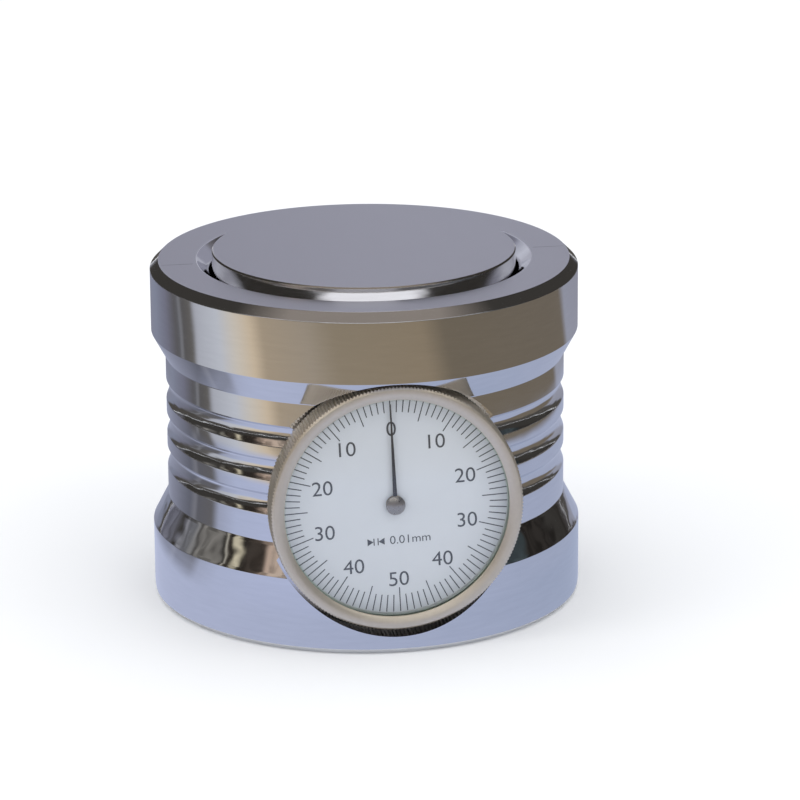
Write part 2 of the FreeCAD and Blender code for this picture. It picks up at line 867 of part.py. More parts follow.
pieces = {
    "body": make_body(),
    "guide_column": make_guide_column(),
    "guide_bush": make_guide_bush(),
    "column_screws": make_column_screws(),
    "base_plug": make_base_plug(),
    "main_spring": make_main_spring(),
    "anvil": make_anvil(),
    "anvil_stem": make_anvil_stem(),
    "stop_washer": make_stop_washer(),
    "stem_nut": make_stem_nut(),
    "rack_rod": make_rack_rod(),
    "rod_bush": make_rod_bush(),
    "dial_case": make_dial_case(),
    "case_screws": make_case_screws(),
    "bezel_spring": make_bezel_spring(),
    "bezel": make_bezel(),
    "crystal": make_crystal(),
    "crystal_ring": make_crystal_ring(),
    "dial_face": make_dial_face(),
    "pointer": make_pointer(),
    "pointer_cap": make_pointer_cap(),
    "back_plate": make_plate(back_plate_rear_d, back_plate_front_d, pivot_dia + 2 * running_clearance),
    "front_plate": make_plate(front_plate_rear_d, front_plate_front_d,
                              centre_arbor_dia + 2 * running_clearance),
    "pillars": make_pillars(),
    "movement_screws": make_movement_screws(),
    "rack_arbor": make_rack_arbor(),
    "main_wheel": make_wheel(main_arbor_angle, main_x, main_z),
    "centre_arbor": make_centre_arbor(),
    "take_up_arbor": make_arbor(take_up_x, take_up_z, arbor_dia),
    "take_up_wheel": make_wheel(take_up_angle, take_up_x, take_up_z),
    "hairspring": make_hairspring(),
    "hairspring_collet": make_hairspring_collet(),
    "hairspring_stud": make_hairspring_stud(),
}

os.makedirs("parts", exist_ok=True)
for node, shape in pieces.items():
    shape.exportStep("parts/" + node + ".step")
    print(node, len(shape.Solids), "solids", round(shape.Volume, 2), "mm3", "valid", shape.isValid())
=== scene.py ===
import math

import bmesh
import bpy
from mathutils import Matrix, Vector


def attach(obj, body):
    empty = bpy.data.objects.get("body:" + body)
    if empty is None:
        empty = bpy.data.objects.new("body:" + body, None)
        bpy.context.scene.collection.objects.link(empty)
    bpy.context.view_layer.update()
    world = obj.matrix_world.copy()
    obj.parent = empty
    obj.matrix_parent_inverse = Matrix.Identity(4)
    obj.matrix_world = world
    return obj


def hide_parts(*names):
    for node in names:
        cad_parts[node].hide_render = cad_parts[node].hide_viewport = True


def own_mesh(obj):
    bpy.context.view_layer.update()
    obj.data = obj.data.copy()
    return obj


# Dial tool setter, seen from its dial's side. Sizes are millimetres here, and each finished mesh is
# scaled to the frame's metres. The body's axis is Z, and d is a distance out from it towards the dial.
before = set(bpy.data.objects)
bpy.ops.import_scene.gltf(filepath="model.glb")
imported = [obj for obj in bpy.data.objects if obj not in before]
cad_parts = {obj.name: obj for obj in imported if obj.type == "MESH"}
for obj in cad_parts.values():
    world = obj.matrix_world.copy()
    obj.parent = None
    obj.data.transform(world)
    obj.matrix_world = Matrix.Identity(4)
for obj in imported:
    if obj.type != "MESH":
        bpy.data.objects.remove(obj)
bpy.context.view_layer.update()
MM = 0.001


# Body. One bar of steel: turned to ring, cone, grooved waist, flare and base, bored from above, and
# milled from the front for the dial. It is plated and buffed bright, but for its two ground faces.

class Socket:
    """A node's output in a finish, so that shader maths is written as plain expressions."""

    def __init__(self, tree, link=None):
        self.tree, self.link = tree, link

    def node(self, kind, settings, inputs, out=0):
        made = self.tree.nodes.new("ShaderNode" + kind)
        for name, value in settings.items():
            setattr(made, name, value)
        for name, value in inputs.items():
            if isinstance(value, Socket):
                self.tree.links.new(value.link, made.inputs[name])
            else:
                made.inputs[name].default_value = value
        return Socket(self.tree, made.outputs[out] if made.outputs else None)

    def maths(self, operation, first, second=0.0):
        return self.node("Math", {"operation": operation}, {0: first, 1: second})

    def __add__(self, other):
        return self.maths("ADD", self, other)

    def __sub__(self, other):
        return self.maths("SUBTRACT", self, other)

    def __rsub__(self, other):
        return self.maths("SUBTRACT", other, self)

    def __mul__(self, other):
        return self.maths("MULTIPLY", self, other)

    def __truediv__(self, other):
        return self.maths("DIVIDE", self, other)

    __radd__ = __add__
    __rmul__ = __mul__

    def colour(self, low, high):
        """The colour low where this value is 0 and high where it is 1."""
        low, high = (each if isinstance(each, Socket) else (*each, 1) for each in (low, high))
        return self.node("Mix", {"data_type": "RGBA"}, {0: self, 6: low, 7: high}, out=2)

    def stretched(self, x, y, z):
        return self.node("VectorMath", {"operation": "MULTIPLY"}, {0: self, 1: (x, y, z)})

    def axis(self, name):
        return self.node("SeparateXYZ", {}, {0: self}, out=name)

    def distance(self, point):
        return self.node("VectorMath", {"operation": "DISTANCE"}, {0: self, 1: point}, out=1)

    def grain(self, scale, detail=3.0):
        return self.node("TexNoise", {}, {"Vector": self, "Scale": scale, "Detail": detail})

    def wander(self, scale, detail=2.0):
        """Grain that goes as far below 0 as above it."""
        return self.grain(scale, detail) - 0.5

    def ranged(self, low, high):
        """0 at the low end of a range and 1 at the high end."""
        return self.node("MapRange", {}, {0: self, 1: low, 2: high, 3: 0.0, 4: 1.0})

    def between(self, low, high, fade):
        """1 from low to high, and 0 beyond them by the width of a fade."""
        return self.ranged(low - fade, low) * self.ranged(high + fade, high)

    def feed(self, shader, name):
        self.tree.links.new(self.link, shader.inputs[name])


def place_in(tree):
    """The place of each point that a tree shades, in metres."""
    return Socket(tree).node("TexCoord", {}, {}, out="Object")


def finish(name, colour, metallic, roughness):
    """A material with its fixed values set, its shader, and the place of each point."""
    material = bpy.data.materials.new(name)
    material.use_nodes = True
    shader = material.node_tree.nodes["Principled BSDF"]
    values = {"Base Color": (*colour, 1), "Metallic": metallic, "Roughness": roughness}
    for key, value in values.items():
        shader.inputs[key].default_value = value
    return material, shader, place_in(material.node_tree)


def relief(shader, height, depth):
    """Feeds a height into the shader's normal, with its full depth in millimetres."""
    bump = height.node("Bump", {}, {"Height": height, "Strength": 1.0, "Distance": depth * MM})
    bump.feed(shader, "Normal")


def rounded(outline, steps=4):
    """Closed outline from (across, along, corner radius) points, with its corners rounded."""
    points = []
    for index, (x, y, radius) in enumerate(outline):
        if not radius:
            points.append((x, y))
            continue
        corner = Vector((x, y))
        before = (Vector(outline[index - 1][:2]) - corner).normalized()
        after = (Vector(outline[(index + 1) % len(outline)][:2]) - corner).normalized()
        half = before.angle(after) / 2
        middle = corner + (before + after).normalized() * radius / math.sin(half)
        start = corner + before * radius / math.tan(half) - middle
        end = corner + after * radius / math.tan(half) - middle
        for step in range(steps + 1):
            arm = start.normalized().slerp(end.normalized(), step / steps) * radius
            points.append(tuple(middle + arm))
    return points


def about_z(radius, height, turn):
    return radius * math.cos(turn), radius * math.sin(turn), height


def turns(count):
    """The angles that part a full turn into equal steps."""
    return [2 * math.pi * index / count for index in range(count)]


def band(form, rings):
    """Joins each ring of corners to the next with a band of faces."""
    for low, high in zip(rings, rings[1:]):
        for index in range(len(low)):
            beside = (index + 1) % len(low)
            form.faces.new((low[index], low[beside], high[beside], high[index]))


def turned(outline, sides, place=about_z):
    """Closed form turned from an outline of (radius, height) points."""
    form = bmesh.new()
    rings = []
    for radius, height in outline:
        rings.append([form.verts.new(place(radius, height, turn)) for turn in turns(sides)])
    band(form, rings + rings[:1])
    bmesh.ops.remove_doubles(form, verts=form.verts, dist=SAME_POINT)
    bmesh.ops.recalc_face_normals(form, faces=form.faces)
    return form


def crisp(form, limit=34):
    """Smooth faces, with an edge kept sharp where it turns by more than limit degrees."""
    for face in form.faces:
        face.smooth = True
    for edge in form.edges:
        edge.smooth = len(edge.link_faces) == 2 and edge.calc_face_angle(0) < math.radians(limit)


def thing_from(name, form, *finishes):
    """An object in the scene, made from a form in millimetres."""
    mesh = bpy.data.meshes.new(name)
    form.to_mesh(mesh)
    form.free()
    mesh.transform(Matrix.Scale(MM, 4))
    for each in finishes:
        mesh.materials.append(each)
    thing = bpy.data.objects.new(name, mesh)
    bpy.context.scene.collection.objects.link(thing)
    return thing


def piece(name, form, body, slot, *finishes):
    """An object that rides on a body, with the given finishes; its slot is not used."""
    thing = thing_from(name, form, *finishes)
    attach(thing, body)
    return thing


SAME_POINT = 1e-5
SETTING_HEIGHT = 50.0
RING_RADIUS = 31.0
RING_CHAMFER = 1.25
RING_LOW = 39.8
WAIST_HIGH = 36.1
WAIST_LOW = 15.1
WAIST_RADIUS = 29.0
WAIST_BREAK = 0.3
BASE_TOP = 10.8
BASE_RADIUS = 31.25
BASE_CHAMFER = 0.8
BORE_RADIUS = 23.35
# Each row of the bore's lip holds a radius, a depth below the ring's face and a corner's radius.
BORE_LIP = ((24.25, 0, 0.3), (22.4, 1.6, 0.4), (22.4, 2.4, 0.1), (BORE_RADIUS, 3.2, 0))
FLOOR_HEIGHT = 4.4
RELIEF_RADIUS = 23.0
RELIEF_DEPTH = 0.5
ACCESS_RADIUS = 7.0
EDGE_BREAK = 0.12
BODY_SIDES = 288
# A groove is lowest a little above its middle, by this share of its half width.
GROOVE_CENTRES = (20.7, 25.8, 30.9)
GROOVE_HALF_WIDTH = 1.65
GROOVE_DEPTH = 0.5
GROOVE_LOWEST = 0.34
GROOVE_STEPS = 16
DIAL_HEIGHT = 21.15
POCKET_RADIUS = 18.55
POCKET_FLOOR = 25.1
CASE_HOLE_RADIUS = 16.85
CASE_REAR = 12.85
CUTTER_FRONT = 45
CUTTER_SIDES = 256
# Each row holds a hole's circle and angle, its shank's and head's diameters and its countersink's depth.
COLUMN_SCREWS = [(10.25, angle, 3.1, 6.0, 1.6) for angle in (90, 210, 330)]
CASE_SCREWS = [(circle, 270, 2.6, 4.6, 1.4) for circle in (15.2, 20.0)]
SCREW_SIDES = 48
HOLE_OVERRUN = 1
FLAT_NORMAL = 0.99
FACE_SLACK = 0.1


def about_dial(radius, d, turn):
    return radius * math.cos(turn), -d, DIAL_HEIGHT + radius * math.sin(turn)


grooves = []
for centre in GROOVE_CENTRES:
    for step in range(GROOVE_STEPS + 1):
        height = 2 * step / GROOVE_STEPS - 1
        flank = 1 - GROOVE_LOWEST if height > GROOVE_LOWEST else 1 + GROOVE_LOWEST
        rise = ((height - GROOVE_LOWEST) / flank) ** 2
        grooves.append((WAIST_RADIUS - GROOVE_DEPTH * (1 - rise), centre + GROOVE_HALF_WIDTH * height, 0))
body_outline = rounded([
    (RELIEF_RADIUS, 0, EDGE_BREAK),
    (BASE_RADIUS - BASE_CHAMFER, 0, EDGE_BREAK),
    (BASE_RADIUS, BASE_CHAMFER, EDGE_BREAK),
    (BASE_RADIUS, BASE_TOP, EDGE_BREAK),
    (WAIST_RADIUS, WAIST_LOW, WAIST_BREAK),
    *grooves,
    (WAIST_RADIUS, WAIST_HIGH, WAIST_BREAK),
    (RING_RADIUS, RING_LOW, EDGE_BREAK),
    (RING_RADIUS, SETTING_HEIGHT - RING_CHAMFER, EDGE_BREAK),
    (RING_RADIUS - RING_CHAMFER, SETTING_HEIGHT, EDGE_BREAK / 2),
    *((radius, SETTING_HEIGHT - depth, corner) for radius, depth, corner in BORE_LIP),
    (BORE_RADIUS, FLOOR_HEIGHT, 0),
    (ACCESS_RADIUS, FLOOR_HEIGHT, 0),
    (ACCESS_RADIUS, RELIEF_DEPTH, 0),
    (RELIEF_RADIUS, RELIEF_DEPTH, 0),
])

# The plating is smooth but for the buffing wheel's long waves. The flare, which the wheel hardly gets
# into, and the grooves keep short ripples. Grain is counted per metre.
WAVES = 95
FLARE_RIPPLES = 190
GROOVE_RIPPLES = 200
FLARE_HEIGHT = 6.5
GROOVE_HEIGHT = 1.3
MARK_HEIGHT = 0.012
PLATING_RELIEF = 0.03
FLARE = (BASE_TOP + 0.4, WAIST_LOW - 0.4, 0.5)
GROOVES_WITHIN = (28.9, 28.7)
GROOVES_ABOVE = (18.5, 19.0)

plated, plated_shader, at = finish("plated_steel_finish", (0.72, 0.73, 0.76), 1.0, 0.06)
buffing = at.stretched(1, 1, 7).grain(240)
turning = at.stretched(0.04, 0.04, 1).grain(5200, detail=2)
(0.035 + buffing * 0.05 + turning * 0.03).feed(plated_shader, "Roughness")
buffing.colour((0.69, 0.70, 0.73), (0.76, 0.77, 0.80)).feed(plated_shader, "Base Color")
height = at.axis("Z") / MM
reach = at.stretched(1, 1, 0).distance((0, 0, 0)) / MM
in_groove = reach.ranged(*GROOVES_WITHIN) * height.ranged(*GROOVES_ABOVE)
waves = at.stretched(1, 1, 0.45).grain(WAVES, detail=1) + turning * MARK_HEIGHT
waves += at.stretched(1, 1, 1.2).wander(FLARE_RIPPLES, detail=1) * height.between(*FLARE) * FLARE_HEIGHT
waves += at.stretched(1, 1, 5).wander(GROOVE_RIPPLES, detail=1) * in_groove * GROOVE_HEIGHT
relief(plated_shader, waves, PLATING_RELIEF)

ground, ground_shader, at = finish("ground_steel_finish", (0.52, 0.52, 0.56), 1.0, 0.34)
strokes = at.stretched(1, 0.03, 1).grain(6500, detail=4)
(0.30 + strokes * 0.12).feed(ground_shader, "Roughness")
(0.3 + strokes * 0.4).colour((0.47, 0.47, 0.52), (0.58, 0.58, 0.63)).feed(ground_shader, "Base Color")
relief(ground_shader, strokes, 0.0015)


def carve(thing, cutters):
    """Cuts each form out of a piece."""
    for form in cutters:
        tool = thing_from("cutter", form)
        cut = thing.modifiers.new("cut", "BOOLEAN")
        cut.operation, cut.object, cut.solver = "DIFFERENCE", tool, "EXACT"
        view = bpy.context.evaluated_depsgraph_get()
        view.update()
        made = bpy.data.meshes.new_from_object(thing.evaluated_get(view))
        thing.modifiers.clear()
        thing.data = made
        bpy.data.objects.remove(tool)


def face_up(thing, index, *heights):
    """Gives a finish to the level faces at the given heights."""
    for face in thing.data.polygons:
        near = any(abs(face.center.z - height * MM) < FACE_SLACK * MM for height in heights)
        if near and abs(face.normal.z) > FLAT_NORMAL:
            face.material_index = index


def weighted(thing):
    """Lets the large faces set the normals, so that flats look flat up to their rounded edges."""
    shading = thing.modifiers.new("normals", "WEIGHTED_NORMAL")
    shading.keep_sharp = True


turned_body = piece("turned_body", turned(body_outline, BODY_SIDES), "housing", "plated_steel", plated, ground)
cutters = []
for radius, rear in ((POCKET_RADIUS, POCKET_FLOOR), (CASE_HOLE_RADIUS, CASE_REAR)):
    outline = [(0, rear), (radius, rear), (radius, CUTTER_FRONT), (0, CUTTER_FRONT)]
    cutters.append(turned(outline, CUTTER_SIDES, about_dial))
for circle, angle, shank, head, depth in COLUMN_SCREWS + CASE_SCREWS:
    outline = [
        (0, -HOLE_OVERRUN),
        (head / 2, -HOLE_OVERRUN),
        (head / 2, RELIEF_DEPTH),
        (shank / 2, RELIEF_DEPTH + depth),
        (shank / 2, FLOOR_HEIGHT + HOLE_OVERRUN),
        (0, FLOOR_HEIGHT + HOLE_OVERRUN),
    ]
    hole = turned(outline, SCREW_SIDES)
    hole.transform(Matrix.Translation(about_z(circle, 0, math.radians(angle))))
    cutters.append(hole)
carve(turned_body, cutters)
form = bmesh.new()
form.from_mesh(turned_body.data)
crisp(form)
form.to_mesh(turned_body.data)
form.free()
face_up(turned_body, 1, 0, RELIEF_DEPTH, SETTING_HEIGHT)
weighted(turned_body)
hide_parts("body")


# Scribed line. A fine line is scratched straight across the ring's ground face, one stretch on each
# side of the bore, as the mark that the instrument is set out from. It is only darker steel.

SCRIBE_HALF_WIDTH = 0.06
SCRIBE_REACH = (24.9, 29.5)
SCRIBE_ABOVE = 0.006
SCRIBE_BELOW = 0.02

scribe, scribe_shader, at = finish("scribed_finish", (0.16, 0.16, 0.18), 1.0, 0.45)
at.grain(900).colour((0.13, 0.13, 0.15), (0.24, 0.24, 0.27)).feed(scribe_shader, "Base Color")

form = bmesh.new()
for side in (-1, 1):
    near, far = (side * reach for reach in SCRIBE_REACH)
    half = SCRIBE_HALF_WIDTH
    corners = [(near, -half), (far, -half / 2), (far, half / 2), (near, half)]
    top = [form.verts.new((x, y, SETTING_HEIGHT + SCRIBE_ABOVE)) for x, y in corners]
    under = [form.verts.new((x, y, SETTING_HEIGHT - SCRIBE_BELOW)) for x, y in corners]
    form.faces.new(top)
    form.faces.new(under[::-1])
    band(form, [under, top])
bmesh.ops.recalc_face_normals(form, faces=form.faces)
piece("scribed_line", form, "housing", "ground_steel", scribe)


# Anvil. A hardened disc, ground and lapped on top, with a turned edge. It stands a little above the
# ring on its stem, and its underside is hollowed for the spring.

ANVIL_TOP = 51.3
ANVIL_UNDER = 44.3
ANVIL_RADIUS = 22.0
ANVIL_CHAMFER = 0.22
ANVIL_TOP_BREAKS = (0.05, 0.03)
ANVIL_SIDES = 256
HUB_RADIUS = 6.5
RECESS_RADIUS = 11.0
RECESS_TOP = ANVIL_UNDER + 2.03


def worked(shader, marks, dark, light, smooth, rough):
    """Lets a tool's marks lead the colour from dark to light and the surface from smooth to rough."""
    marks.colour(dark, light).feed(shader, "Base Color")
    (smooth + marks * (rough - smooth)).feed(shader, "Roughness")


turned_edge, edge_shader, at = finish("turned_edge_finish", (0.66, 0.65, 0.64), 1.0, 0.1)
feed_marks = at.stretched(0.05, 0.05, 1).grain(3600)
worked(edge_shader, feed_marks, (0.60, 0.59, 0.58), (0.72, 0.71, 0.70), 0.05, 0.13)
relief(edge_shader, feed_marks, 0.0012)

form = turned(rounded([
    (0, ANVIL_UNDER, 0),
    (HUB_RADIUS, ANVIL_UNDER, EDGE_BREAK),
    (HUB_RADIUS, RECESS_TOP, 0),
    (RECESS_RADIUS, RECESS_TOP, 0),
    (RECESS_RADIUS, ANVIL_UNDER, EDGE_BREAK),
    (ANVIL_RADIUS - ANVIL_CHAMFER, ANVIL_UNDER, EDGE_BREAK),
    (ANVIL_RADIUS, ANVIL_UNDER + ANVIL_CHAMFER, EDGE_BREAK),
    (ANVIL_RADIUS, ANVIL_TOP - ANVIL_CHAMFER, ANVIL_TOP_BREAKS[0]),
    (ANVIL_RADIUS - ANVIL_CHAMFER, ANVIL_TOP, ANVIL_TOP_BREAKS[1]),
    (0, ANVIL_TOP, 0),
]), ANVIL_SIDES)
crisp(form)
ground_anvil = piece("ground_anvil", form, "plunger", "ground_steel", turned_edge, ground)
face_up(ground_anvil, 1, ANVIL_TOP)
weighted(ground_anvil)
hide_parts("anvil")


# Bezel. A ring of nickel silver with a serrated edge that the fingers turn. A small chamfer runs
# through the teeth in front, and the face inside it slopes down to the lip that holds the crystal.

BEZEL_FRONT = 30.3
BEZEL_REAR = 25.4
BEZEL_RADIUS = 17.95
SERRATIONS = 220
SERRATION_DEPTH = 0.2
SERRATION_STEPS = 6
FRONT_CHAMFER = 0.36
REAR_CHAMFER = 0.2
FACE_RADIUS = 16.9
LIP_RADIUS = 16.0
LIP_FRONT = 29.86
LIP_REAR = 29.6
BEZEL_BORE = 16.66

nickel, nickel_shader, at = finish("nickel_silver_finish", (0.74, 0.67, 0.55), 0.88, 0.45)
marks = at.stretched(1, 0.2, 1).grain(1500, detail=4)
wear = at.grain(160, detail=4)
(0.36 + marks * 0.10 + wear * 0.06).feed(nickel_shader, "Roughness")
marks.colour((0.70, 0.63, 0.515), (0.79, 0.715, 0.60)).feed(nickel_shader, "Base Color")
relief(nickel_shader, marks, 0.002)

# Each row holds a radius, a d, how much of a tooth's depth it loses in a valley, and how far a valley
# then lies in front of the tooth's tip. The small steps beside a corner round it off.
section = [
    (BEZEL_BORE, BEZEL_REAR, 0, 0),
    (BEZEL_RADIUS - SERRATION_DEPTH - REAR_CHAMFER, BEZEL_REAR, 0, 0),
    (BEZEL_RADIUS, BEZEL_REAR + REAR_CHAMFER + SERRATION_DEPTH, 1, -1),
    (BEZEL_RADIUS, BEZEL_FRONT - FRONT_CHAMFER, 1, 1),
    (BEZEL_RADIUS - FRONT_CHAMFER, BEZEL_FRONT, 0, 0),
    (BEZEL_RADIUS - FRONT_CHAMFER - 0.12, BEZEL_FRONT + 0.02, 0, 0),
    (FACE_RADIUS, BEZEL_FRONT - 0.03, 0, 0),
    (FACE_RADIUS - 0.3, BEZEL_FRONT - 0.12, 0, 0),
    (LIP_RADIUS + 0.06, LIP_FRONT + 0.03, 0, 0),
    (LIP_RADIUS, LIP_FRONT - 0.03, 0, 0),
    (LIP_RADIUS, LIP_REAR, 0, 0),
    (BEZEL_BORE, LIP_REAR, 0, 0),
]
form = bmesh.new()
rings = []
for radius, d, cut, lean in section:
    ring = []
    for side, turn in enumerate(turns(SERRATIONS * SERRATION_STEPS)):
        valley = SERRATION_DEPTH * (1 - math.cos(2 * math.pi * side / SERRATION_STEPS)) / 2
        ring.append(form.verts.new(about_dial(radius - cut * valley, d + lean * valley, turn)))
    rings.append(ring)
band(form, rings + rings[:1])
bmesh.ops.recalc_face_normals(form, faces=form.faces)
crisp(form)
serrated_bezel = piece("serrated_bezel", form, "dial_bezel", "nickel_silver", nickel)
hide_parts("bezel")


# Crystal. A clear pressed window with a bevelled rim, held under the bezel's lip by the spacer ring.
# Seen edge on, it is faintly green.

CRYSTAL_FRONT = 29.6
CRYSTAL_REAR = 28.7
CRYSTAL_RADIUS = 16.6
CRYSTAL_BEVEL = 0.3
CRYSTAL_BREAKS = (0.05, 0.2)
CRYSTAL_SIDES = 192
RIM_TINT = 0.7
RIM_TINT_EDGE = (15.7, 16.1)
SHINE_FACING = 0.035
SHINE_EDGE_ON = 0.9
SHINE_POWER = 5.0
SHINE_ROUGHNESS = 0.04


def empty_material(name):
    """A material with nothing in its tree yet, and the place of each point."""
    material = bpy.data.materials.new(name)
    material.use_nodes = True
    material.node_tree.nodes.clear()
    return material, place_in(material.node_tree)


clear, at = empty_material("crystal_finish")
gloss = at.node("BsdfGlossy", {}, {"Color": (1, 1, 1, 1), "Roughness": SHINE_ROUGHNESS})
through = at.node("BsdfTransparent", {}, {"Color": (0.995, 1.0, 0.998, 1)})
tinted = at.node("BsdfTransparent", {}, {"Color": (0.66, 0.78, 0.64, 1)})
from_axis = at.stretched(1, 0, 1).distance((0, 0, DIAL_HEIGHT * MM)) / MM
rim = from_axis.ranged(*RIM_TINT_EDGE) * RIM_TINT
glass = at.node("MixShader", {}, {0: rim, 1: through, 2: tinted})
slant = at.node("LayerWeight", {}, {"Blend": 0.5}, out="Facing")
shine = slant.maths("POWER", slant, SHINE_POWER) * SHINE_EDGE_ON + SHINE_FACING
skin = at.node("MixShader", {}, {0: shine, 1: glass, 2: gloss})
at.node("OutputMaterial", {}, {"Surface": skin})

form = turned(rounded([
    (0, CRYSTAL_REAR, 0),
    (CRYSTAL_RADIUS, CRYSTAL_REAR, 0),
    (CRYSTAL_RADIUS, CRYSTAL_FRONT - CRYSTAL_BEVEL, CRYSTAL_BREAKS[0]),
    (CRYSTAL_RADIUS - CRYSTAL_BEVEL, CRYSTAL_FRONT, CRYSTAL_BREAKS[1]),
    (0, CRYSTAL_FRONT, 0),
]), CRYSTAL_SIDES, about_dial)
crisp(form)
window = piece("crystal_window", form, "dial_bezel", "crystal", clear)
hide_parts("crystal")


# Dial face. A thin plate, sprayed a pale bluish white, under the crystal's spacer ring. It turns
# with the bezel, and only its print shows that it does.

def dress(finish_of, *names):
    """Gives CAD nodes a finish in place of their plain one."""
    for name in names:
        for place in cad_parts[name].material_slots:
            place.material = finish_of


dial_paint, paint_shader, at = finish("dial_paint_finish", (0.57, 0.59, 0.64), 0.0, 0.5)
orange_peel = at.grain(1800, detail=2)
clouding = at.grain(110, detail=2)
clouding.colour((0.55, 0.57, 0.62), (0.59, 0.61, 0.655)).feed(paint_shader, "Base Color")
(0.44 + orange_peel * 0.1).feed(paint_shader, "Roughness")
relief(paint_shader, orange_peel, 0.001)
dress(dial_paint, "dial_face")


# Print on the dial. Black ink: a hundred divisions with every fifth one longer, numbers that run up to
# fifty both ways, the value of a division, and the sign of two arrows that face each other.

DIAL_FRONT = 27.6
DIAL_TURN = math.radians(2.5)
INK_OUT = 0.015
INK_IN = -0.002
DIVISIONS = 100
LONG_EVERY = 5
TICK_WIDTH = 0.15
TICK_OUTER = 16.05
TICK_INNER = 13.55
LONG_TICK_INNER = 12.45
NUMBERS = 10
NUMBER_STEP = 10
# The numbers' circle at the top and bottom, half way, and at the sides.
NUMBER_CIRCLES = (11.15, 10.8, 10.7)
NUMBER_HEIGHT = 2.1
NUMBER_WIDTH = 1.03
LETTER_WEIGHT = -0.002
LETTER_DEPTH = 0.01
VALUE_HEIGHT = 1.2
VALUE_WIDTH = 1.06
VALUE_CENTRE = (1.9, -5.3)
SIGN_HEIGHT = 1.05
SIGN_LEVEL = -5.35
SIGN_PLACES = ((-3.35, 1), (-2.62, -1))
SIGN_DEPTH = 0.86
SIGN_BAR = 0.15

ink, ink_shader, at = finish("ink_finish", (0.05, 0.055, 0.07), 0.0, 0.55)
at.grain(2500).colour((0.035, 0.04, 0.052), (0.075, 0.08, 0.098)).feed(ink_shader, "Base Color")


def rotated(x, y, turn):
    """A point turned from x towards y."""
    return x * math.cos(turn) - y * math.sin(turn), x * math.sin(turn) + y * math.cos(turn)


def on_dial(x, z, out):
    """A point of the print, turned with the dial."""
    x, z = rotated(x, z, DIAL_TURN)
    return x, -DIAL_FRONT - out, DIAL_HEIGHT + z


def printed(form, corners):
    """Adds a thin flat of ink with the given corners."""
    low = [form.verts.new(on_dial(x, z, INK_IN)) for x, z in corners]
    high = [form.verts.new(on_dial(x, z, INK_OUT)) for x, z in corners]
    form.faces.new(low)
    form.faces.new(high[::-1])
    band(form, [low, high])


def lettered(form, text, height, width, x, z):
    """Adds characters of a given height, centred on a point of the dial."""
    curve = bpy.data.curves.new("characters", "FONT")
    curve.body, curve.extrude, curve.offset = text, LETTER_DEPTH, LETTER_WEIGHT
    holder = bpy.data.objects.new("characters", curve)
    bpy.context.scene.collection.objects.link(holder)
    view = bpy.context.evaluated_depsgraph_get()
    view.update()
    mesh = bpy.data.meshes.new_from_object(holder.evaluated_get(view))
    bpy.data.objects.remove(holder)
    across = [point.co.x for point in mesh.vertices]
    up = [point.co.y for point in mesh.vertices]
    scale = height / (max(up) - min(up))
    middle_x, middle_z = (max(across) + min(across)) / 2, (max(up) + min(up)) / 2
    for point in mesh.vertices:
        dial_x = x + (point.co.x - middle_x) * scale * width
        dial_z = z + (point.co.y - middle_z) * scale
        point.co = on_dial(dial_x, dial_z, INK_OUT if point.co.z > 0 else INK_IN)
    form.from_mesh(mesh)


form = bmesh.new()
half = TICK_WIDTH / 2
for division, turn in enumerate(turns(DIVISIONS)):
    inner = TICK_INNER if division % LONG_EVERY else LONG_TICK_INNER
    corners = [(-half, inner), (-half, TICK_OUTER), (half, TICK_OUTER), (half, inner)]
    printed(form, [rotated(x, z, -turn) for x, z in corners])
low, high = SIGN_LEVEL - SIGN_HEIGHT / 2, SIGN_LEVEL + SIGN_HEIGHT / 2
for place, side in SIGN_PLACES:
    back, front = place - side * SIGN_DEPTH, place + side * SIGN_BAR
    printed(form, [(back, high), (place, SIGN_LEVEL), (back, low)])
    printed(form, [(place, low), (place, high), (front, high), (front, low)])
for step, turn in enumerate(turns(NUMBERS)):
    value = NUMBER_STEP * min(step, NUMBERS - step)
    circle = NUMBER_CIRCLES[round(2 * abs(math.sin(turn)))]
    lettered(form, str(value), NUMBER_HEIGHT, NUMBER_WIDTH, circle * math.sin(turn), circle * math.cos(turn))
lettered(form, "0.01mm", VALUE_HEIGHT, VALUE_WIDTH, *VALUE_CENTRE)
bmesh.ops.recalc_face_normals(form, faces=form.faces)
piece("dial_print", form, "dial_bezel", "pointer_black", ink)


# Pointer and cap. A blackened blade, pressed on the centre arbor, that narrows to its tip. A small
# turned cap with a domed top covers the end of the arbor.

CAP_RADIUS = 1.375
CAP_REAR = 28.2
CAP_SIDE = 28.33
CAP_FRONT = 28.65
CAP_BREAK = 0.04
CAP_STEPS = 12
CAP_SIDES = 72
CAP_CREASE = 50

blacked, blacked_shader, at = finish("blackened_finish", (0.02, 0.02, 0.024), 0.0, 0.4)
at.grain(2200).colour((0.014, 0.014, 0.018), (0.03, 0.03, 0.036)).feed(blacked_shader, "Base Color")
dress(blacked, "pointer")

cap_metal, cap_shader, at = finish("cap_finish", (0.42, 0.38, 0.33), 1.0, 0.28)
worked(cap_shader, at.stretched(1, 4, 1).grain(2400), (0.36, 0.33, 0.29), (0.48, 0.44, 0.385), 0.22, 0.36)

rise = CAP_FRONT - CAP_SIDE
dome_radius = (CAP_RADIUS ** 2 + rise ** 2) / (2 * rise)
outline = [(0, CAP_REAR), (CAP_RADIUS, CAP_REAR), (CAP_RADIUS, CAP_SIDE - CAP_BREAK)]
for step in range(CAP_STEPS + 1):
    turn = math.asin(CAP_RADIUS / dome_radius) * (1 - step / CAP_STEPS)
    outline.append((dome_radius * math.sin(turn), CAP_FRONT - dome_radius * (1 - math.cos(turn))))
form = turned(outline, CAP_SIDES, about_dial)
crisp(form, CAP_CREASE)
cap = piece("domed_cap", form, "pointer_gear", "nickel_silver", cap_metal)
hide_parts("pointer_cap")


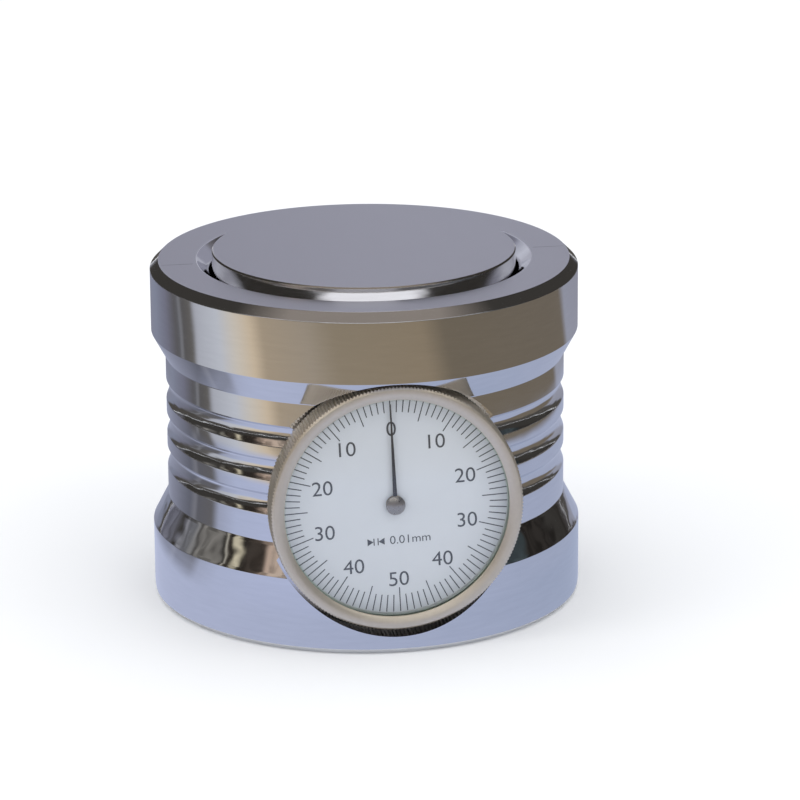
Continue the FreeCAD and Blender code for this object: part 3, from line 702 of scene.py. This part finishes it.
# Plain steel and the crystal's ring. The column, its screws, the plug, the stem, its stop and the arbors
# are bright turned steel. The small springs are drawn wire, browned by their heat treatment.

ROUGH_SPREAD = 0.1
TOOL_MARK_DEPTH = 0.004


def metal(name, dark, light, rough, scale, stretch=(1, 1, 1)):
    """Bare metal with tool marks that vary its colour, gloss and surface."""
    made, shader, at = finish(name, light, 1.0, rough)
    marks = at.stretched(*stretch).grain(scale, detail=4)
    worked(shader, marks, dark, light, rough - ROUGH_SPREAD, rough + ROUGH_SPREAD)
    relief(shader, marks, TOOL_MARK_DEPTH)
    return made


steel = metal("turned_steel_finish", (0.34, 0.34, 0.35), (0.52, 0.52, 0.53), 0.34, 1600, (0.1, 0.1, 1))
wire = metal("spring_steel_finish", (0.16, 0.15, 0.15), (0.34, 0.32, 0.31), 0.28, 900)
ring_metal = metal("ring_finish", (0.62, 0.61, 0.58), (0.78, 0.77, 0.74), 0.42, 1400, (1, 0.2, 1))
dress(steel, "guide_column", "column_screws", "base_plug", "anvil_stem", "stop_washer", "stem_nut", "rack_rod",
      "case_screws", "movement_screws", "rack_arbor", "centre_arbor", "take_up_arbor")
dress(wire, "bezel_spring", "hairspring")
dress(ring_metal, "crystal_ring")


# Main spring. Tempered wire, coiled on a mandrel, between the column's flange and the recess under the
# anvil. It is made at one length here, though the real spring shortens as the anvil goes down.

SPRING_FOOT = 8.4
SPRING_HEAD = 46.3
SPRING_SEAT_GAP = 0.05
SPRING_TURNS = 6
SPRING_RADIUS = 9.2
SPRING_STEPS = 48
WIRE_WIDTH = 1.2
WIRE_HEIGHT = 1.0
WIRE_SIDES = 12

form = bmesh.new()
rings = []
low = SPRING_FOOT + SPRING_SEAT_GAP + WIRE_HEIGHT / 2
high = SPRING_HEAD - SPRING_SEAT_GAP - WIRE_HEIGHT / 2
for step in range(SPRING_TURNS * SPRING_STEPS + 1):
    height = low + (high - low) * step / (SPRING_TURNS * SPRING_STEPS)
    ring = []
    for lean in turns(WIRE_SIDES):
        across, up = WIRE_WIDTH / 2 * math.cos(lean), WIRE_HEIGHT / 2 * math.sin(lean)
        corner = about_z(SPRING_RADIUS + across, height + up, 2 * math.pi * step / SPRING_STEPS)
        ring.append(form.verts.new(corner))
    rings.append(ring)
band(form, rings)
form.faces.new(rings[0])
form.faces.new(rings[-1])
bmesh.ops.recalc_face_normals(form, faces=form.faces)
crisp(form)
spring = piece("wound_spring", form, "housing", "spring_steel", wire)
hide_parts("main_spring")
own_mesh(spring)


# Brass and bronze. The plates, pillars, wheels, collet and stud of the movement are rolled brass,
# blanked and grained. The stem's and the rod's bushes are bronze.

brass = metal("brass_finish", (0.58, 0.42, 0.18), (0.80, 0.62, 0.30), 0.32, 1300, (1, 1, 0.08))
bronze = metal("bronze_finish", (0.40, 0.24, 0.12), (0.62, 0.40, 0.22), 0.36, 1500, (0.1, 0.1, 1))
dress(brass, "back_plate", "front_plate", "pillars", "main_wheel", "take_up_wheel", "hairspring_collet",
      "hairspring_stud")
dress(bronze, "guide_bush", "rod_bush")


# Dial case. A turned cup of nickel silver, pushed through its hole in the body from the front, and
# held by the two screws beneath. Its bright inside is hidden once the dial is on.

case_metal = metal("case_finish", (0.46, 0.45, 0.42), (0.64, 0.62, 0.58), 0.34, 1500, (1, 0.15, 1))
dress(case_metal, "dial_case")


# Floor. A plain pale sheet that the instrument stands on, wide enough to fill every view.

FLOOR_HALF = 3000.0
FLOOR_LEVEL = -0.02

floor_sheet, floor_shader, at = finish("floor_finish", (0.93, 0.93, 0.94), 0.0, 0.9)
at.grain(30).colour((0.94, 0.94, 0.94), (0.96, 0.96, 0.96)).feed(floor_shader, "Base Color")

form = bmesh.new()
corners = [(x * FLOOR_HALF, y * FLOOR_HALF, FLOOR_LEVEL) for x, y in ((-1, -1), (1, -1), (1, 1), (-1, 1))]
form.faces.new([form.verts.new(corner) for corner in corners])
floor = thing_from("floor", form, floor_sheet)


# Surroundings of the polished steel. A bench with a pale cloth near by and wood beyond, and a dim room
# over it, with a window, a strip light and a lamp. They are glowing surfaces that only show as
# reflections, so their colours are painted light and shade for the steel to reflect.

BENCH_HOLE = 31.6
BENCH_REACH = 700.0
BENCH_LEVEL = 0.3
BENCH_SIDES = 96
# A pair holds how far out a change of the bench starts and ends, in millimetres, and the colours round
# the body are listed by shares of a turn. Their seams slant by a share of a turn for each millimetre.
NEAR_FIRST = (43, 49)
NEAR_REST = (51, 58)
NEAR_FIRST_SHARE = 0.6
CLOTH_EDGE = (108, 124)
WOOD_EDGE = (205, 230)
EDGE_UNEVEN = 10
SEAM_SLANT = 0.0004
SEAM_PIVOT = 130
SEAM_UNEVEN = 0.01
LEFT_TO_RIGHT = (0.3, 0.65)
CLOTH_NEAR_LEFT = (0.53, 0.575, 0.76)
CLOTH_NEAR_RIGHT = (0.42, 0.475, 0.63)
FAR_BENCH = (0.085, 0.078, 0.07)
CLOTH_ROUND = [
    (0.00, (0.40, 0.43, 0.56)), (0.12, (0.25, 0.26, 0.33)), (0.17, (0.15, 0.155, 0.19)),
    (0.185, (0.24, 0.24, 0.27)), (0.19, (0.14, 0.14, 0.16)), (0.225, (0.15, 0.145, 0.15)),
    (0.238, (0.42, 0.45, 0.58)), (0.27, (0.52, 0.57, 0.76)), (0.34, (0.55, 0.60, 0.81)),
    (0.50, (0.52, 0.57, 0.77)), (0.62, (0.46, 0.51, 0.67)), (1.00, (0.40, 0.43, 0.56)),
]
WOOD_ROUND = [
    (0.00, (0.24, 0.24, 0.30)), (0.10, (0.26, 0.28, 0.36)), (0.15, (0.21, 0.21, 0.27)),
    (0.18, (0.13, 0.125, 0.13)), (0.189, (0.14, 0.14, 0.15)), (0.193, (0.30, 0.30, 0.32)),
    (0.198, (0.12, 0.115, 0.115)), (0.222, (0.15, 0.14, 0.13)), (0.232, (0.50, 0.51, 0.56)),
    (0.28, (0.63, 0.65, 0.70)), (0.31, (0.74, 0.67, 0.57)), (0.335, (0.74, 0.60, 0.43)),
    (0.355, (0.47, 0.38, 0.27)), (0.42, (0.41, 0.345, 0.265)), (0.46, (0.33, 0.27, 0.19)),
    (0.58, (0.32, 0.255, 0.175)), (0.61, (0.20, 0.165, 0.12)), (0.83, (0.19, 0.16, 0.125)),
    (0.845, (0.36, 0.37, 0.44)), (1.00, (0.24, 0.24, 0.30)),
]

ROOM_RADIUS = 900.0
ROOM_SEGMENTS = 48
# In the room, up is the sine of the height over the horizon, and aside is a share of a turn away from
# the room's middle. A pair holds where a change starts and ends, and a triple a stretch and its fade.
# The painted shade on the walls lies between two leaning edges, and more of it lies low down, but for the
# back.
ROOM_MIDDLE = 0.4764
WALLS_UNEVEN = 0.05
STRIPES = (0.45, 0.55)
STRIPES_END = (0.38, 0.42)
STRIPE_SHADE = 0.5
SHADE = (0.05, 0.046, 0.041)
SHADE_FRONT = (1.33, 1.39)
SHADE_FRONT_LEAN = 3
SHADE_REAR = (0.459, 0.455)
SHADE_REAR_LEAN = 0.15
LOW_SHADE_UP = (0.19, 0.14)
LOW_SHADE_END = (0.37, 0.34)
WINDOW = (0.9, 0.9, 0.95)
WINDOW_UP = (0.16, 0.46, 0.04)
WINDOW_ROUND = (0.42, 0.54, 0.01)
CEILING_UP = (0.62, 0.70)
CEILING_AHEAD = (0.31, 0.27, 0.235)
CEILING_AHEAD_END = (0.19, 0.27)
STRIP_LIGHT = (1.7, 1.7, 1.75)
STRIP_UP = (0.65, 0.76, 0.02)
STRIP_END = (0.23, 0.22)
CEILING_LAMP = (1.6, 1.6, 1.66)
LAMP_TOWARDS = (0.062, 0.213, 0.975)
LAMP_EDGE = (0.26, 0.20)
ROOM_ROUND = [
    (0.00, (0.43, 0.43, 0.50)), (0.035, (0.62, 0.63, 0.71)), (0.07, (0.30, 0.30, 0.37)),
    (0.14, (0.22, 0.22, 0.26)), (0.15, (0.34, 0.34, 0.37)), (0.165, (0.20, 0.20, 0.21)),
    (0.178, (0.32, 0.31, 0.30)), (0.19, (0.16, 0.15, 0.14)), (0.20, (0.34, 0.32, 0.29)),
    (0.225, (0.05, 0.045, 0.038)), (0.232, (0.60, 0.56, 0.47)), (0.241, (0.06, 0.05, 0.04)),
    (0.254, (0.05, 0.042, 0.035)), (0.262, (0.85, 0.76, 0.55)), (0.272, (0.05, 0.042, 0.035)),
    (0.298, (0.07, 0.055, 0.045)), (0.308, (0.60, 0.45, 0.35)), (0.34, (0.66, 0.53, 0.42)),
    (0.36, (0.16, 0.14, 0.11)), (0.70, (0.09, 0.11, 0.12)), (0.735, (0.07, 0.09, 0.095)),
    (0.745, (0.035, 0.03, 0.026)), (0.85, (0.045, 0.04, 0.036)), (0.885, (0.16, 0.15, 0.16)),
    (0.90, (0.34, 0.34, 0.41)), (0.93, (0.32, 0.32, 0.39)), (0.965, (0.62, 0.63, 0.71)),
    (1.00, (0.43, 0.43, 0.50)),
]


def surroundings(name, form, colours):
    """A surface that only reflections see, glowing in the given colours: painted light for the steel to
    reflect.
    """
    made, at = empty_material(name)
    at.node("OutputMaterial", {}, {"Surface": at.node("Emission", {}, {"Color": colours(at)})})
    made.cycles.emission_sampling = "NONE"
    thing = thing_from(name, form, made)
    thing.visible_camera = thing.visible_diffuse = thing.visible_shadow = thing.visible_transmission = False


def round_body(at):
    """0 to 1 round the body, from behind it past its left, its front (0.5) and its right."""
    return at.maths("ARCTAN2", at.axis("X"), at.axis("Y") * -1) / (2 * math.pi) + 0.5


def ramp(value, stops):
    """The colour at a value, from a list of values and their colours."""
    made = value.node("ValToRGB", {}, {0: value})
    elements = made.link.node.color_ramp.elements
    while len(elements) < len(stops):
        elements.new(0.5)
    for element, (place, colour) in zip(elements, stops):
        element.position, element.color = place, (*colour, 1)
    return made


# The bench glows in these colours: painted reflections of a cloth, lighter on the left, and of wood beyond it,
# dark far out.
def bench_colours(at):
    reach = at.stretched(1, 1, 0).distance((0, 0, 0)) / MM
    around = round_body(at) + (reach - SEAM_PIVOT) * SEAM_SLANT + at.wander(16) * SEAM_UNEVEN
    near = around.ranged(*LEFT_TO_RIGHT).colour(CLOTH_NEAR_LEFT, CLOTH_NEAR_RIGHT)
    beyond_near = reach.ranged(*NEAR_FIRST) * NEAR_FIRST_SHARE
    beyond_near += reach.ranged(*NEAR_REST) * (1 - NEAR_FIRST_SHARE)
    cloth = beyond_near.colour(near, ramp(around, CLOTH_ROUND))
    far = reach + at.wander(30) * EDGE_UNEVEN
    wood = far.ranged(*WOOD_EDGE).colour(ramp(around, WOOD_ROUND), FAR_BENCH)
    return far.ranged(*CLOTH_EDGE).colour(cloth, wood)


# The room glows in these colours: painted reflections of its walls and their shade, a window, a strip light,
# the ceiling and a lamp.
def room_colours(at):
    towards = at.node("VectorMath", {"operation": "NORMALIZE"}, {0: at})
    up = towards.axis("Z")
    around = round_body(at)
    aside = around.maths("ABSOLUTE", around - ROOM_MIDDLE)
    walls = ramp(around + at.stretched(1, 1, 1.8).wander(3.4) * WALLS_UNEVEN, ROOM_ROUND)
    stripes = at.stretched(1, 1, 0.25).grain(13, detail=2).ranged(*STRIPES) + aside.ranged(*STRIPES_END)
    walls = stripes.colour(walls.stretched(STRIPE_SHADE, STRIPE_SHADE, STRIPE_SHADE), walls)
    shaded = (up + aside * SHADE_FRONT_LEAN).ranged(*SHADE_FRONT)
    shaded *= (aside + up * SHADE_REAR_LEAN).ranged(*SHADE_REAR)
    low_shade = up.ranged(*LOW_SHADE_UP) * aside.ranged(*LOW_SHADE_END)
    walls = (shaded + low_shade * (1 - shaded)).colour(walls, SHADE)
    walls = (up.between(*WINDOW_UP) * around.between(*WINDOW_ROUND)).colour(walls, WINDOW)
    ceiling = aside.ranged(*CEILING_AHEAD_END).colour(CEILING_AHEAD, SHADE)
    over = up.ranged(*CEILING_UP).colour(walls, ceiling)
    over = (up.between(*STRIP_UP) * aside.ranged(*STRIP_END)).colour(over, STRIP_LIGHT)
    return towards.distance(LAMP_TOWARDS).ranged(*LAMP_EDGE).colour(over, CEILING_LAMP)


form = bmesh.new()
rings = []
for radius in (BENCH_HOLE, BENCH_REACH):
    rings.append([form.verts.new(about_z(radius, BENCH_LEVEL, turn)) for turn in turns(BENCH_SIDES)])
band(form, rings)
surroundings("bench", form, bench_colours)
form = bmesh.new()
bmesh.ops.create_uvsphere(form, u_segments=ROOM_SEGMENTS, v_segments=ROOM_SEGMENTS // 2, radius=ROOM_RADIUS)
surroundings("room", form, room_colours)


# Light. An even pale sky, with a broad soft lamp over the left shoulder and a weaker one at the right.

SKY_COLOUR = (0.96, 0.975, 1.0)
SKY_STRENGTH = 1.12
LAMP_AIM = (0, 0, 30)
# Each row holds a lamp's name, place, width and power.
LAMPS = (("key", (-525, -217, 440), 300, 0.45), ("fill", (300, -420, 520), 420, 0.5))

scene = bpy.context.scene
sky = bpy.data.worlds.new("sky")
scene.world = sky
sky.use_nodes = True
sky.node_tree.nodes["Background"].inputs["Color"].default_value = (*SKY_COLOUR, 1)
sky.node_tree.nodes["Background"].inputs["Strength"].default_value = SKY_STRENGTH
for name, place, size, power in LAMPS:
    lamp = bpy.data.lights.new(name, "AREA")
    lamp.size, lamp.energy = size * MM, power
    holder = bpy.data.objects.new(name, lamp)
    holder.location = Vector(place) * MM
    holder.visible_glossy = False
    holder.rotation_mode = "QUATERNION"
    holder.rotation_quaternion = (Vector(LAMP_AIM) - Vector(place)).to_track_quat("-Z", "Y")
    scene.collection.objects.link(holder)
scene.view_settings.view_transform = "Standard"


# Camera. It stands where the photographer's did: a long lens, a little above the ring, with the dial
# turned slightly to the right, and held about half a degree off level.

CAMERA_DISTANCE = 642.1
CAMERA_BEARING = math.radians(-8.5)
CAMERA_RISE = math.radians(17.39)
CAMERA_ROLL = math.radians(-0.547)
CAMERA_AIM = Vector((0, 0, 25.0))
CAMERA_LENS = 197.27
CAMERA_SHIFT = (0.0434, 0.0254)
SENSOR_WIDTH = 36
CLIP = (0.01, 20)

away = math.cos(CAMERA_RISE)
back = Vector((math.sin(CAMERA_BEARING) * away, -math.cos(CAMERA_BEARING) * away, math.sin(CAMERA_RISE)))
level = (-back).cross(Vector((0, 0, 1))).normalized()
upright = level.cross(-back)
right = level * math.cos(CAMERA_ROLL) + upright * math.sin(CAMERA_ROLL)
top = upright * math.cos(CAMERA_ROLL) - level * math.sin(CAMERA_ROLL)
lens = bpy.data.cameras.new("camera")
lens.lens, lens.sensor_width = CAMERA_LENS, SENSOR_WIDTH
lens.shift_x, lens.shift_y = CAMERA_SHIFT
lens.clip_start, lens.clip_end = CLIP
camera = bpy.data.objects.new("camera", lens)
turned_to = Matrix((right, top, back)).transposed().to_4x4()
camera.matrix_world = Matrix.Translation((CAMERA_AIM + back * CAMERA_DISTANCE) * MM) @ turned_to
scene.collection.objects.link(camera)
scene.camera = camera
